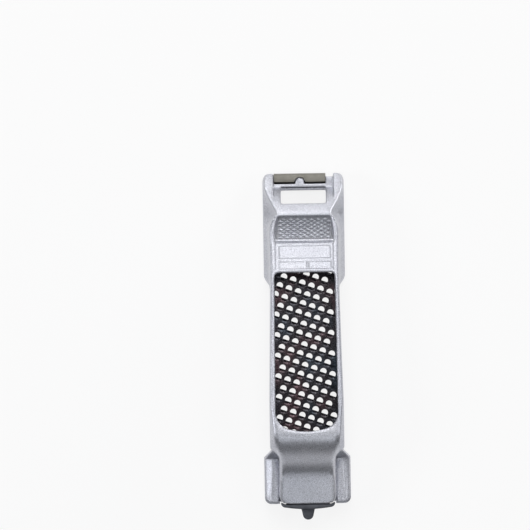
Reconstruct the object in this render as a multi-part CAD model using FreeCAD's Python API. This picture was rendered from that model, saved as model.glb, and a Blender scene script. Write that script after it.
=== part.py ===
import FreeCAD, Part
import math
import os

# A small one-hand rasp plane: a hollow die-cast body over a perforated steel blade.
# X is across, +Y points to the toe, +Z up. Z is zero at the tips of the teeth.
# The origin lies below the middle of the whole tool. All sizes are in millimetres.

# Lengths along the tool, from the toe to the heel
nose_length = 17.9
dish_length = 12.9
panel_length = 13.65
window_length = 70.8
bridge_length = 0.75
palm_length = 17.25
tail_length = 14.35
lever_lip = 2.6
tongue_length = 4.8
body_length = (nose_length + dish_length + panel_length + window_length
               + bridge_length + palm_length + tail_length)

toe_y = (body_length + lever_lip + tongue_length) / 2
ridge_y = toe_y - nose_length
groove_y = ridge_y - dish_length
window_front_y = groove_y - panel_length
window_rear_y = window_front_y - window_length
palm_crest_y = window_rear_y - bridge_length
palm_foot_y = palm_crest_y - palm_length
tail_end_y = palm_foot_y - tail_length

# Half widths of the body
front_half = 18.2
ridge_half = 12.2
crest_half = 15.5
waist_front_half = 15.7
waist_rear_half = 16.6
palm_crest_half = 13.3
tail_half = 12.5
wing_half = 19.3

# Where the outline changes, from the toe, the ridge, the window and the palm rest
nose_full_length = 6.5
crest_turn_length = 7.6
nose_turn_power = 1.2
shoulder_start = 1.15
shoulder_step = 5.8
grip_end = 13.75
arch_start = 6.8
arch_step = 5.2
nose_full_y = toe_y - nose_full_length
crest_full_y = ridge_y - crest_turn_length
shoulder_front_y = window_front_y - shoulder_start
shoulder_rear_y = shoulder_front_y - shoulder_step
grip_rear_y = window_rear_y + grip_end
arch_y = palm_crest_y - arch_start
arch_rear_y = arch_y - arch_step
toe_corner = 3.0
tail_corner = 2.9

# Heights
tooth_depth = 0.9
blade_thickness = 0.5
base_z = tooth_depth + blade_thickness
bead_height = 2.2
bead_z = base_z + bead_height
toe_z = 7.5
ridge_z = 25.5
groove_z = 26.3
dish_dip = 1.3
dish_end_dip = 0.25
dish_start_rise = 0.2
palm_z = 35.5
palm_bend = 9.0
palm_angle = 42.0
deck_rise_power = 1.4
tail_fall = 3.3

# Edges and walls of the casting
edge = 0.5
tail_edge = 1.4
side_wall = 2.1
roof_wall = 2.4
tail_wall = 2.2
knee_width_share = 0.42
knee_height_share = 0.16
upper_width_share = 0.1
front_upper_height_share = 0.5
rear_upper_height_share = 0.87
rear_crest_share = 0.4
cavity_shoulder_share = 0.6
least_step = 0.05
overrun = 6.0

# Windows, groove and toe recess
window_front_half = 13.5
window_rear_half = 13.9
window_corner = 2.0
window_end_length = 8.0
window_end_half = 7.9
window_end_crown = 1.05
nose_window_half = 10.1
nose_window_rear = 13.6
nose_window_front = 7.6
recess_half = 13.5
recess_start = 13.0
recess_drop = 2.4
groove_width = 0.9
groove_depth = 0.5
groove_half = 13.1
dish_front_half = 11.4
dish_rear_half = 12.9
dish_slope = 2.2
dish_front_slope = 0.5

# Toe bar and the boss on it
lip_gap = 0.1
lip_fold_gap = 0.4
bar_radius = 2.5
bar_rear_length = 6.25
bar_relief = 1.0
tier_drop = 0.7
lip_groove = 0.9
lip_groove_depth = 0.9
lip_side_gap = 0.15
boss_radius = 2.05
bar_flush_drop = 0.05

# Blade
blade_half = 15.4
flange_height = 3.4
flange_front_length = 19.5
flange_rear_length = 122.0
flange_slot_gap = 0.12
flange_swing_gap = 0.6
perforated_end_length = 131.5
strap_front_length = 6.6
blade_window_gap = 0.25
tab_half = 5.9
web_half = 4.9
web_height = 9.1
web_bend = 1.2
lip_offset = -1.5
lip_half = 11.55
lip_depth = 3.8
notch_radius = 2.55
notch_centre = 0.4

# Teeth of the blade
tooth_half_width = 1.5
tooth_crown = 1.4
tooth_heel = 0.75
tooth_scoop = 2.1
tooth_scoop_half = 1.3
tooth_land = 0.3
row_step_x = 4.069
row_step_y = -1.435
column_step_x = -1.948
column_step_y = -3.9
tooth_start_x = -2.39
tooth_start_y = 80.41
tooth_field_half = 13.15
tooth_field_front = 19.0
tooth_field_rear = 127.5

# Wings beside the tail
wing_length = 25.15
wing_start_half = 15.3
wing_flare = 4.1
wing_foot = 4.5
wing_top_z = 13.0
wing_top_fall = 0.8
wing_peak_z = 27.0
wing_corner = 3.0
wing_ridge_half = 15.5
wing_slope_drop = 2.6
wing_inner_drop = 0.8
wing_inset = 0.5
wing_heel_inset = 1.0
wing_groove = 0.5
wing_groove_depth = 3.4
wing_wall = 2.0
tail_lift = 2.8
tail_lift_length = 6.0

# Tension lever, its pin and its bar
pivot_back = 1.85
pivot_z = 6.5
pin_radius = 1.5
pin_run = 0.05
bar_reach = 3.8
bar_rise = 0.3
tension_bar_radius = 1.2
web_clearance = 0.05
arm_inner = 6.8
arm_outer = 9.6
arm_boss_radius = 3.0
arm_rise = 5.4
arm_depth = 4.0
plate_half = 12.2
plate_gap = 0.4
plate_crown = 0.8
plate_corner = 2.2
plate_wrap_angle = 44.0
plate_low_z = 7.6
plate_high_z = 18.6
shelf_low_z = 12.2
shelf_thickness = 2.0
shelf_length = 5.4
tongue_half = 2.4
tongue_root_half = 3.3
tongue_round = 2.1
tongue_low_z = 11.4
tongue_thickness = 2.6
tongue_root = 1.6

tooth_tilt = math.degrees(math.atan2(row_step_y, row_step_x))

bar_centre_y = toe_y - (bar_radius + lip_gap + blade_thickness)
bar_centre_z = tooth_depth + blade_thickness + lip_gap + bar_radius
bar_front_y = bar_centre_y + bar_radius
bar_rear_y = toe_y - bar_rear_length
bar_top_z = bar_centre_z + bar_radius + lip_gap - lip_fold_gap
bar_flush_z = bar_centre_z + bar_radius + lip_gap + blade_thickness - bar_flush_drop
nose_throat_y = ridge_y + roof_wall / 2
wing_end_y = arch_y - wing_length
pivot_y = palm_foot_y - pivot_back
tension_bar_y = pivot_y - bar_reach
tension_bar_z = pivot_z + bar_rise
web_front_y = tension_bar_y - tension_bar_radius - web_clearance
web_rear_y = web_front_y - blade_thickness


def ease(share):
    """A smooth step from 0 to 1."""
    return (1 - math.cos(math.pi * share)) / 2


def mix(start, end, share):
    return start + (end - start) * share


def point(x, y, z):
    return FreeCAD.Vector(x, y, z)


def block(x_low, x_high, y_low, y_high, z_low, z_high):
    corner = point(x_low, y_low, z_low)
    return Part.makeBox(x_high - x_low, y_high - y_low, z_high - z_low, corner)


def round_bar(x_low, x_high, y, z, radius):
    return Part.makeCylinder(radius, x_high - x_low, point(x_low, y, z), point(1, 0, 0))


def side_prism(outline, x_low, x_high):
    """A closed outline in Y and Z, pushed across the tool."""
    wire = Part.makePolygon([point(x_low, y, z) for y, z in outline + outline[:1]])
    return Part.Face(wire).extrude(point(x_high - x_low, 0, 0))


def plan_prism(edges, z_low, z_high):
    """A closed outline of edges at z_low, pushed up to z_high."""
    face = Part.Face(Part.Wire(Part.sortEdges(edges)[0]))
    return face.extrude(point(0, 0, z_high - z_low))


def line(start, end, z):
    return Part.makeLine(point(start[0], start[1], z), point(end[0], end[1], z))


def arc(start, middle, end, z):
    points = [point(place[0], place[1], z) for place in (start, middle, end)]
    return Part.Arc(*points).toShape()


def corner_cut(length, radius):
    """How far a rounded corner draws in, this far into its radius."""
    return radius - math.sqrt(max(radius ** 2 - length ** 2, 0))


def base_half(y):
    """Half width of the outline at the base."""
    if y > toe_y - toe_corner:
        return front_half - corner_cut(y - toe_y + toe_corner, toe_corner)
    if y >= shoulder_front_y:
        return front_half
    if y >= shoulder_rear_y:
        share = (shoulder_front_y - y) / shoulder_step
        return mix(front_half, waist_front_half, ease(share))
    if y >= grip_rear_y:
        share = (shoulder_rear_y - y) / (shoulder_rear_y - grip_rear_y)
        return mix(waist_front_half, waist_rear_half, share)
    if y >= arch_y:
        return waist_rear_half
    if y >= arch_rear_y:
        share = (arch_y - y) / arch_step
        return mix(tail_half, waist_rear_half, (1 - share) ** 2)
    if y < tail_end_y + tail_corner:
        return tail_half - corner_cut(tail_end_y + tail_corner - y, tail_corner)
    return tail_half


def top_half(y):
    """Half width of the flat top, inside the rounded or chamfered crest."""
    if y >= nose_full_y:
        return base_half(y) - edge
    if y >= ridge_y:
        share = (nose_full_y - y) / (nose_full_y - ridge_y)
        return mix(front_half - edge, ridge_half, share ** nose_turn_power)
    if y >= crest_full_y:
        share = (ridge_y - y) / (ridge_y - crest_full_y)
        return mix(ridge_half, crest_half, math.sin(share * math.pi / 2))
    if y >= shoulder_rear_y:
        share = (crest_full_y - y) / (crest_full_y - shoulder_rear_y)
        return mix(crest_half, waist_front_half - edge, share)
    if y >= grip_rear_y:
        return base_half(y) - edge
    if y >= palm_crest_y:
        share = (grip_rear_y - y) / (grip_rear_y - palm_crest_y)
        return mix(waist_rear_half - edge, palm_crest_half + edge, share)
    if y >= arch_rear_y:
        share = (palm_crest_y - y) / (palm_crest_y - arch_rear_y)
        return mix(palm_crest_half + edge, tail_half - tail_edge, share)
    return base_half(y) - tail_edge


def rear_share(y):
    """0 where the flank is drawn in like a flare, 1 where it is full and rounded."""
    if y >= shoulder_front_y:
        return 0
    if y <= grip_rear_y:
        return 1
    return (shoulder_front_y - y) / (shoulder_front_y - grip_rear_y)


palm_bend_angle = math.radians(palm_angle)
palm_bend_y = palm_crest_y - palm_bend * math.sin(palm_bend_angle)
palm_bend_z = palm_z - palm_bend * (1 - math.cos(palm_bend_angle))
palm_foot_z = palm_bend_z - (palm_bend_y - palm_foot_y) * math.tan(palm_bend_angle)


def top_z(y):
    """Height of the top along the middle of the tool."""
    if y >= ridge_y:
        return mix(ridge_z, toe_z, (y - ridge_y) / nose_length)
    if y >= groove_y:
        return mix(ridge_z, groove_z, (ridge_y - y) / dish_length)
    if y >= palm_crest_y:
        share = (y - palm_crest_y) / (groove_y - palm_crest_y)
        return mix(palm_z, groove_z, share ** deck_rise_power)
    if y >= palm_bend_y:
        return palm_z - corner_cut(palm_crest_y - y, palm_bend)
    if y >= palm_foot_y:
        return mix(palm_bend_z, palm_foot_z, (palm_bend_y - y) / (palm_bend_y - palm_foot_y))
    return palm_foot_z - tail_fall * (palm_foot_y - y) / tail_length


def ring(half_outline, y):
    """The closed section at y, from its right half given as X and Z."""
    right = [point(x, y, z) for x, z in half_outline]
    left = [point(-x, y, z) for x, z in reversed(half_outline)]
    return Part.makePolygon(right + left + right[:1])


def flank_half(y):
    """Half width of the upper flank, between the flat top and the base."""
    return mix(top_half(y), base_half(y), mix(upper_width_share, 1, rear_share(y)))


def hull_section(y):
    base = base_half(y)
    top = top_half(y)
    high = top_z(y)
    rise = high - bead_z
    full = rear_share(y)
    knee = mix(knee_width_share, 1, full)
    upper_height = mix(front_upper_height_share, rear_upper_height_share, full)
    outline = [
        (base, base_z),
        (base, bead_z),
        (mix(top, base, knee), bead_z + knee_height_share * rise),
        (flank_half(y), bead_z + upper_height * rise),
        (mix(top, base, full * rear_crest_share), high - edge),
        (top - edge, high),
    ]
    return ring(outline, y)


def spread(start, end, count):
    """Places from start up to, but not including, end."""
    return [mix(start, end, index / count) for index in range(count)]


def in_order(places):
    """The places from toe to heel, without any that nearly repeat."""
    kept = []
    for y in sorted(places, reverse=True):
        if not kept or kept[-1] - y > least_step:
            kept.append(y)
    return kept


def hull_places():
    places = [toe_y - toe_corner * corner_cut(share, 1) for share in spread(0, 1, 4)]
    places += spread(toe_y - toe_corner, nose_full_y, 1)
    places += spread(nose_full_y, ridge_y, 4)
    places += spread(ridge_y, crest_full_y, 5)
    places += spread(crest_full_y, groove_y, 1)
    places += spread(groove_y, shoulder_front_y, 3)
    places += spread(shoulder_front_y, shoulder_rear_y, 4)
    places += spread(shoulder_rear_y, grip_rear_y, 5)
    places += spread(grip_rear_y, palm_crest_y, 3)
    places += spread(palm_crest_y, palm_bend_y, 4)
    places += spread(palm_bend_y, arch_y, 1)
    places += spread(arch_y, arch_rear_y, 4)
    places += spread(arch_rear_y, palm_foot_y, 2)
    places += spread(palm_foot_y, tail_end_y + tail_corner, 2)
    ends = [math.sin(math.pi / 2 * share) for share in spread(0, 1, 4)]
    places += [tail_end_y + tail_corner * (1 - share) for share in ends]
    return in_order(places + [tail_end_y])


def hull():
    """The outer form without wings or openings."""
    return Part.makeLoft([hull_section(y) for y in hull_places()], True, True)


def cavity_section(y):
    if y <= arch_rear_y:
        low_half = tail_half - tail_wall
        high_half = low_half - edge
    else:
        low_half = flank_half(y) - side_wall
        high_half = min(low_half, top_half(y) - side_wall / 2)
    high = top_z(max(y, tail_end_y)) - roof_wall
    if ridge_y >= y > groove_y:
        high -= dish_dip * math.sin(math.pi * (ridge_y - y) / dish_length)
    if y > ridge_y:
        high = top_z(y) - roof_wall * math.sqrt(2)
    shoulder = mix(bead_z, high, cavity_shoulder_share)
    outline = [
        (low_half, -overrun),
        (low_half, shoulder),
        (high_half, high),
    ]
    return ring(outline, y)


def cavity():
    """The hollow of the casting, open below and at the heel."""
    places = [nose_throat_y]
    places += spread(ridge_y, groove_y, 3)
    places += spread(groove_y, grip_rear_y, 6)
    places += spread(grip_rear_y, palm_crest_y, 2)
    places += spread(palm_crest_y, palm_bend_y, 3)
    places += [palm_bend_y, arch_y, arch_rear_y, palm_foot_y, tail_end_y - overrun]
    return Part.makeLoft([cavity_section(y) for y in in_order(places)], True, True)


def dish():
    """The scoop for the forefinger, with sloping sides, from the ridge to the groove."""
    sections = []
    for share in spread(0, 1, 8) + [1]:
        y = mix(ridge_y, groove_y, share)
        dip = max(dish_dip * math.sin(math.pi * share), dish_end_dip * share)
        half = mix(dish_front_half, dish_rear_half, share)
        slope = mix(dish_front_slope, dish_slope, share)
        sections.append((y, top_z(y) - dip, half, slope))
    first = sections[0]
    sections[0] = (ridge_y + dish_start_rise, first[1] + dish_start_rise, first[2], first[3])
    rings = []
    for y, floor, half, slope in sections:
        outline = [
            (half, floor),
            (half + slope, top_z(min(y, ridge_y)) + dish_start_rise),
            (half + slope, groove_z + overrun),
        ]
        rings.append(ring(outline, y))
    return Part.makeLoft(rings, True, True)


def blade_window():
    """The long window over the blade, square in front and rounded behind."""
    low = bead_z
    front = window_front_y
    bend = window_rear_y + window_end_length
    shoulder_x = mix(window_rear_half, window_end_half, math.sqrt(1 / 2)) + window_corner / 2
    shoulder_y = mix(window_rear_y, bend, 1 / 3) - window_end_crown / 3
    side = window_front_half - window_corner
    turn = window_corner * (1 - math.sqrt(1 / 2))
    inset = front - turn
    edges = [line((-side, front), (side, front), low)]
    for way in (-1, 1):
        corner = (way * (window_front_half - turn), inset)
        start = (way * window_front_half, front - window_corner)
        edges.append(arc((way * side, front), corner, start, low))
        edges.append(line(start, (way * window_rear_half, bend), low))
        end = (way * window_end_half, window_rear_y + window_end_crown)
        edges.append(arc((way * window_rear_half, bend), (way * shoulder_x, shoulder_y), end, low))
    end = window_rear_y + window_end_crown
    edges.append(arc((-window_end_half, end), (0, window_rear_y), (window_end_half, end), low))
    return plan_prism(edges, low, palm_z + overrun)


def nose_window():
    return block(-nose_window_half, nose_window_half, toe_y - nose_window_rear,
                 toe_y - nose_window_front, -overrun, ridge_z + overrun)


def nose_throat():
    """The hollow under the nose window, as wide as the window."""
    roof = top_z(toe_y - nose_window_rear) - roof_wall * math.sqrt(2)
    return block(-nose_window_half, nose_window_half, nose_throat_y - roof_wall,
                 toe_y - nose_window_front, -overrun, roof)


# Where the pads beside the nose window end
pad_end_z = top_z(toe_y - nose_window_front) - recess_drop * 2


def toe_gap():
    """The room between the ears for the bar and the blade's lip."""
    rear = toe_y - nose_window_front
    slot = block(-recess_half, recess_half, rear, toe_y + overrun, -overrun, ridge_z + overrun)
    start = toe_y - recess_start
    outline = [
        (start, top_z(start) + edge),
        (mix(start, rear, 1 / 2), top_z(mix(start, rear, 1 / 2)) - recess_drop / 2),
        (rear, pad_end_z),
        (rear + edge, pad_end_z),
        (rear + edge, ridge_z + overrun),
        (start, ridge_z + overrun),
    ]
    return slot.fuse(side_prism(outline, -recess_half, recess_half))


def toe_bar():
    """The bar between the ears, round in front, with a seat that leaves the lip flush."""
    span = recess_half + edge
    low_z = bar_centre_z - bar_radius
    rear_y = toe_y - nose_window_front
    top_y = bar_centre_y + math.sqrt(bar_radius ** 2 - (bar_top_z - bar_centre_z) ** 2)
    corners = [
        point(-span, bar_centre_y, low_z),
        point(-span, bar_rear_y, low_z),
        point(-span, bar_rear_y, bar_top_z),
        point(-span, top_y, bar_top_z),
    ]
    edges = [Part.makeLine(corners[index], corners[index + 1]) for index in range(3)]
    front = point(-span, bar_front_y, bar_centre_z)
    edges.append(Part.Arc(corners[3], front, corners[0]).toShape())
    bar = Part.Face(Part.Wire(edges)).extrude(point(span * 2, 0, 0))
    lip_end = lip_offset + lip_half
    fold_y = toe_y - lip_depth
    relief = block(lip_end, recess_half, bar_front_y - bar_relief,
                   bar_front_y + overrun, -overrun, ridge_z)
    shadow = block(-span - edge, lip_end, fold_y - lip_groove, fold_y,
                   bar_top_z - lip_groove_depth, ridge_z)
    bar = bar.cut([relief, shadow])
    cheek = block(lip_end + lip_side_gap, span, bar_rear_y, bar_front_y - bar_relief,
                  bar_centre_z, bar_flush_z)
    shelf = block(-span, span, bar_rear_y, fold_y - lip_groove, bar_centre_z, bar_flush_z)
    tier = block(-nose_window_half, nose_window_half, rear_y, bar_rear_y, low_z, bar_flush_z - tier_drop)
    pad = [
        (rear_y - edge, low_z), (bar_rear_y, low_z),
        (bar_rear_y, bar_flush_z), (rear_y, pad_end_z), (rear_y - edge, pad_end_z),
    ]
    pads = [side_prism(pad, -span, -nose_window_half), side_prism(pad, nose_window_half, span)]
    return bar.fuse([cheek, shelf, tier] + pads)


def toe_boss():
    """The half-moon boss that locates the notch of the lip."""
    low_z = bar_top_z - lip_groove_depth - edge
    centre = point(lip_offset, toe_y - lip_depth - notch_centre, low_z)
    moon = Part.makeCylinder(boss_radius, bar_flush_z - low_z, centre)
    keep = block(-recess_half, recess_half, centre.y, toe_y, low_z, ridge_z)
    stem = block(lip_offset - boss_radius, lip_offset + boss_radius,
                 toe_y - lip_depth - lip_groove, centre.y, low_z, bar_flush_z)
    return moon.common(keep).fuse(stem)


def cross_groove():
    """The groove between the knurled dish and the panel."""
    floor = groove_z - groove_depth
    return block(-groove_half, groove_half, groove_y - groove_width / 2,
                 groove_y + groove_width / 2, floor, groove_z + overrun)


def flange_room():
    """The slots in the wide front and the open rebates along the waist."""
    inner = blade_half - blade_thickness - flange_slot_gap
    outer = blade_half + flange_slot_gap
    top = tooth_depth + flange_height + flange_slot_gap
    front = toe_y - flange_front_length + flange_swing_gap
    rear = toe_y - flange_rear_length - flange_slot_gap
    rooms = []
    for way in (-1, 1):
        slot = sorted((way * inner, way * outer))
        rooms.append(block(slot[0], slot[1], rear, front, -overrun, top))
        side = sorted((way * inner, way * (wing_half + overrun)))
        rooms.append(block(side[0], side[1], rear, shoulder_rear_y, -overrun, top))
    return rooms


def wing_plan(way, side_inset, heel_inset, low, high):
    """The outline of a wing in plan, drawn in by the insets."""
    inner = tail_half - edge
    outer = wing_half - side_inset
    end = wing_end_y + heel_inset
    turn = wing_corner * (1 - math.sqrt(1 / 2))

    def place(x, y):
        return (way * x, y)

    start = arch_y + edge
    edges = [
        line(place(inner, end), place(inner, start), low),
        line(place(inner, start), place(wing_start_half, start), low),
        line(place(wing_start_half, start), place(wing_start_half, arch_y), low),
        line(place(wing_start_half, arch_y), place(outer, arch_y - wing_flare), low),
        line(place(outer, arch_y - wing_flare), place(outer, end + wing_corner), low),
        arc(place(outer, end + wing_corner), place(outer - turn, end + turn),
            place(outer - wing_corner, end), low),
        line(place(outer - wing_corner, end), place(inner, end), low),
    ]
    return plan_prism(edges, low, high)


def wing(way):
    """A low shoulder beside the tail on a wider base bead, with the arch at its front."""
    end = wing_end_y
    low = base_z
    start = arch_y + edge
    bead = wing_plan(way, 0, 0, low, bead_z)
    plan = bead.fuse(wing_plan(way, wing_inset, wing_heel_inset, low, palm_z))
    foot = arch_y - wing_foot
    outline = [
        (start + edge, low),
        (start + edge, wing_peak_z),
        (arch_y, wing_peak_z),
        (foot, wing_top_z),
        (end - edge, wing_top_z - wing_top_fall),
        (end - edge, low),
    ]
    shape = plan.common(side_prism(outline, -wing_half - overrun, wing_half + overrun))
    slope = [
        (way * (tail_half - edge), wing_top_z - wing_inner_drop),
        (way * wing_ridge_half, wing_top_z),
        (way * (wing_half + edge), wing_top_z - wing_slope_drop),
        (way * (wing_half + edge), wing_top_z + overrun),
        (way * (tail_half - edge), wing_top_z + overrun),
    ]
    wire = Part.makePolygon([point(x, end - edge, z) for x, z in slope + slope[:1]])
    facet = Part.Face(wire).extrude(point(0, foot - end + edge, 0))
    return shape.cut(facet)


def wing_cuts(way):
    """The groove beside the tail and the hollow below the wing."""
    gap = sorted((way * tail_half, way * (tail_half + wing_groove)))
    groove = block(gap[0], gap[1], wing_end_y - edge, arch_rear_y - edge,
                   wing_top_z - wing_groove_depth, wing_top_z + overrun)
    room = sorted((way * (tail_half + wing_wall), way * (wing_half - wing_wall)))
    hollow = block(room[0], room[1], wing_end_y + wing_wall, arch_y - wing_foot - wing_wall,
                   -overrun, wing_top_z - wing_groove_depth - wing_wall / 2)
    return [groove, hollow]


def tail_underside():
    """The upswept bottom edge at the heel, which clears the lever's plate."""
    start = tail_end_y + tail_lift_length
    outline = [
        (start, -overrun),
        (start, base_z),
        (tail_end_y + tail_lift, base_z + tail_lift),
        (tail_end_y - overrun, base_z + tail_lift),
        (tail_end_y - overrun, -overrun),
    ]
    return side_prism(outline, -tail_half, tail_half)


def body_casting():
    shape = hull().fuse([wing(-1), wing(1)])
    shape = shape.cut(cavity())
    cuts = [blade_window(), nose_throat(), nose_window(), dish(), cross_groove(), tail_underside()]
    cuts += flange_room() + wing_cuts(-1) + wing_cuts(1)
    shape = shape.cut(cuts)
    shape = shape.cut(toe_gap())
    shape = shape.fuse([toe_bar(), toe_boss()])
    pin_hole = round_bar(-tail_half - wing_wall, tail_half + wing_wall, pivot_y, pivot_z, pin_radius)
    return shape.cut(pin_hole).removeSplitter()


def tooth_places():
    """Tooth centres on the slanted lattice, inside the perforated field."""
    front = toe_y - tooth_field_front
    rear = toe_y - tooth_field_rear
    start_y = toe_y - tooth_start_y
    places = []
    span = int(2 * body_length / abs(column_step_y))
    for row in range(-span, span):
        for column in range(-span, span):
            x = tooth_start_x + row * row_step_x + column * column_step_x
            y = start_y + row * row_step_y + column * column_step_y
            if abs(x) <= tooth_field_half and rear <= y <= front:
                places.append((x, y))
    return places


def tilted(shape, x, y):
    """The shape turned about a tooth's centre, so that its edge lies along the row."""
    return shape.rotated(point(x, y, 0), point(0, 0, 1), tooth_tilt)


def tooth_hole(x, y, z):
    """A half-moon hole, round towards the toe, straight at its cutting edge."""
    left = (x - tooth_half_width, y - tooth_heel)
    right = (x + tooth_half_width, y - tooth_heel)
    moon = Part.Wire([arc(left, (x, y + tooth_crown), right, z), line(right, left, z)])
    return tilted(moon, x, y)


def tooth_scoops():
    """The metal behind each hole, pressed down into an edge that is ground flat."""
    scoops = []
    for x, y in tooth_places():
        start = y - tooth_heel
        outline = [
            (start, tooth_depth),
            (start, 0),
            (start - tooth_land, 0),
            (start - tooth_scoop, tooth_depth),
        ]
        scoop = side_prism(outline, x - tooth_scoop_half, x + tooth_scoop_half)
        scoops.append(tilted(scoop, x, y))
    return scoops


def blade_plate():
    """The flat of the blade with its teeth holes and the hole below the nose window."""
    z = tooth_depth
    left = lip_offset - lip_half
    right = lip_offset + lip_half
    strap = toe_y - strap_front_length
    rear = toe_y - perforated_end_length
    outline = [
        (-blade_half, rear), (-tab_half, rear), (-tab_half, web_front_y + web_bend),
        (tab_half, web_front_y + web_bend), (tab_half, rear), (blade_half, rear),
        (blade_half, strap), (right, strap), (right, bar_centre_y),
        (left, bar_centre_y), (left, strap), (-blade_half, strap),
    ]
    outer = Part.makePolygon([point(x, y, z) for x, y in outline + outline[:1]])
    half = nose_window_half + blade_window_gap
    low = toe_y - nose_window_rear - blade_window_gap
    high = toe_y - nose_window_front + blade_window_gap
    hole = [(-half, low), (half, low), (half, high), (-half, high)]
    holes = [Part.makePolygon([point(x, y, z) for x, y in hole + hole[:1]])]
    holes += [tooth_hole(x, y, z) for x, y in tooth_places()]
    face = Part.makeFace([outer] + holes, "Part::FaceMakerBullseye")
    return face.extrude(point(0, 0, blade_thickness))


def blade_flanges():
    front = toe_y - flange_front_length
    rear = toe_y - flange_rear_length
    top = tooth_depth + flange_height
    inner = blade_half - blade_thickness
    return [
        block(-blade_half, -inner, rear, front, tooth_depth, top),
        block(inner, blade_half, rear, front, tooth_depth, top),
    ]


def blade_lip():
    """The front end, wrapped round the bar and folded back over it."""
    outer = bar_radius + lip_gap + blade_thickness
    inner = outer - blade_thickness
    x = lip_offset - lip_half
    fold_y = toe_y - lip_depth

    def place(y, z):
        return point(x, y, bar_centre_z + z)

    edges = [
        Part.makeLine(place(fold_y, outer), place(bar_centre_y, outer)),
        Part.Arc(place(bar_centre_y, outer), place(bar_centre_y + outer, 0),
                 place(bar_centre_y, -outer)).toShape(),
        Part.makeLine(place(bar_centre_y, -outer), place(bar_centre_y, -inner)),
        Part.Arc(place(bar_centre_y, -inner), place(bar_centre_y + inner, 0),
                 place(bar_centre_y, inner)).toShape(),
        Part.makeLine(place(bar_centre_y, inner), place(fold_y, inner)),
        Part.makeLine(place(fold_y, inner), place(fold_y, outer)),
    ]
    lip = Part.Face(Part.Wire(edges)).extrude(point(lip_half * 2, 0, 0))
    centre = point(lip_offset, fold_y - notch_centre, bar_centre_z)
    return lip.cut(Part.makeCylinder(notch_radius, overrun, centre))


def blade_web():
    """The rear tab, turned up so that the lever's bar can push it back."""
    low = tooth_depth
    inner_bend = web_bend - blade_thickness
    outline = [
        (web_front_y + web_bend, low),
        (web_rear_y + web_bend, low),
        (web_rear_y, low + web_bend),
        (web_rear_y, low + web_height),
        (web_front_y, low + web_height),
        (web_front_y, low + web_bend),
        (web_front_y + inner_bend, low + blade_thickness),
        (web_front_y + web_bend, low + blade_thickness),
    ]
    return side_prism(outline, -web_half, web_half)


def rasp_blade():
    pieces = blade_flanges() + [blade_lip(), blade_web()] + tooth_scoops()
    return blade_plate().fuse(pieces).removeSplitter()


def lever_arm(x_low, x_high):
    """One side of the lever, from its boss to the plate at the heel."""
    plate_y = tail_end_y - plate_gap
    outline = [
        (pivot_y + arm_boss_radius / 4, pivot_z + arm_boss_radius),
        (plate_y, pivot_z + arm_rise + arm_depth),
        (plate_y, pivot_z + arm_rise - arm_depth / 2),
        (pivot_y - arm_boss_radius, pivot_z - arm_boss_radius / 2),
        (pivot_y, pivot_z - arm_boss_radius),
    ]
    arm = side_prism(outline, x_low, x_high)
    return arm.fuse(round_bar(x_low, x_high, pivot_y, pivot_z, arm_boss_radius))


def lever_plate():
    """The plate behind the tail, its heel side slightly crowned."""
    front = tail_end_y - plate_gap
    crown_y = tail_end_y - lever_lip + plate_crown
    crown_half = plate_half - plate_corner
    low = plate_low_z
    corner_x = tail_half - tail_corner
    corner_y = tail_end_y + tail_corner
    reach = tail_corner + plate_gap

    def around(way, angle):
        """A place on the arc that follows the tail's corner."""
        turn = math.radians(angle)
        return (way * (corner_x + reach * math.sin(turn)), corner_y - reach * math.cos(turn))

    edges = [line((-corner_x, front), (corner_x, front), low)]
    for way in (-1, 1):
        wrap = around(way, plate_wrap_angle)
        edges.append(arc((way * corner_x, front), around(way, plate_wrap_angle / 2), wrap, low))
        side = (way * plate_half, wrap[1])
        corner = (way * plate_half, crown_y + plate_corner)
        turn = plate_corner * (1 - math.sqrt(1 / 2))
        edges.append(line(wrap, side, low))
        edges.append(line(side, corner, low))
        edges.append(arc(corner, (way * (plate_half - turn), crown_y + turn),
                         (way * crown_half, crown_y), low))
    edges.append(arc((-crown_half, crown_y), (0, tail_end_y - lever_lip), (crown_half, crown_y), low))
    return plan_prism(edges, low, plate_high_z)


def lever_tongue():
    tip = tail_end_y - lever_lip - tongue_length
    root = tail_end_y - lever_lip + tongue_root
    round_y = tip + tongue_round
    low = tongue_low_z
    edges = [
        line((-tongue_root_half, root), (tongue_root_half, root), low),
        line((tongue_root_half, root), (tongue_half, round_y), low),
        arc((tongue_half, round_y), (0, tip), (-tongue_half, round_y), low),
        line((-tongue_half, round_y), (-tongue_root_half, root), low),
    ]
    return plan_prism(edges, low, low + tongue_thickness)


def tension_lever():
    front = tail_end_y - plate_gap
    shelf = block(-arm_outer, arm_outer, front, front + shelf_length,
                  shelf_low_z, shelf_low_z + shelf_thickness)
    pieces = [lever_arm(arm_inner, arm_outer), lever_plate(), lever_tongue(), shelf]
    shape = lever_arm(-arm_outer, -arm_inner).fuse(pieces)
    shape = shape.cut(round_bar(-plate_half, plate_half, pivot_y, pivot_z, pin_radius + pin_run))
    seat = round_bar(-arm_outer, arm_outer, tension_bar_y, tension_bar_z, tension_bar_radius)
    return shape.cut(seat).removeSplitter()


def lever_pin():
    return round_bar(-tail_half, tail_half, pivot_y, pivot_z, pin_radius)


def tension_bar():
    return round_bar(-arm_outer, arm_outer, tension_bar_y, tension_bar_z, tension_bar_radius)


os.makedirs("parts", exist_ok=True)
nodes = {
    "body_casting": body_casting(),
    "rasp_blade": rasp_blade(),
    "tension_lever": tension_lever(),
    "lever_pin": lever_pin(),
    "tension_bar": tension_bar(),
}
for name, shape in nodes.items():
    shape.exportStep("parts/" + name + ".step")
    box = shape.BoundBox
    print(name, "solids", len(shape.Solids), "valid", shape.isValid(), "volume", round(shape.Volume))
    print("  low", round(box.XMin, 2), round(box.YMin, 2), round(box.ZMin, 2))
    print("  high", round(box.XMax, 2), round(box.YMax, 2), round(box.ZMax, 2))
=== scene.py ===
import math

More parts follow.
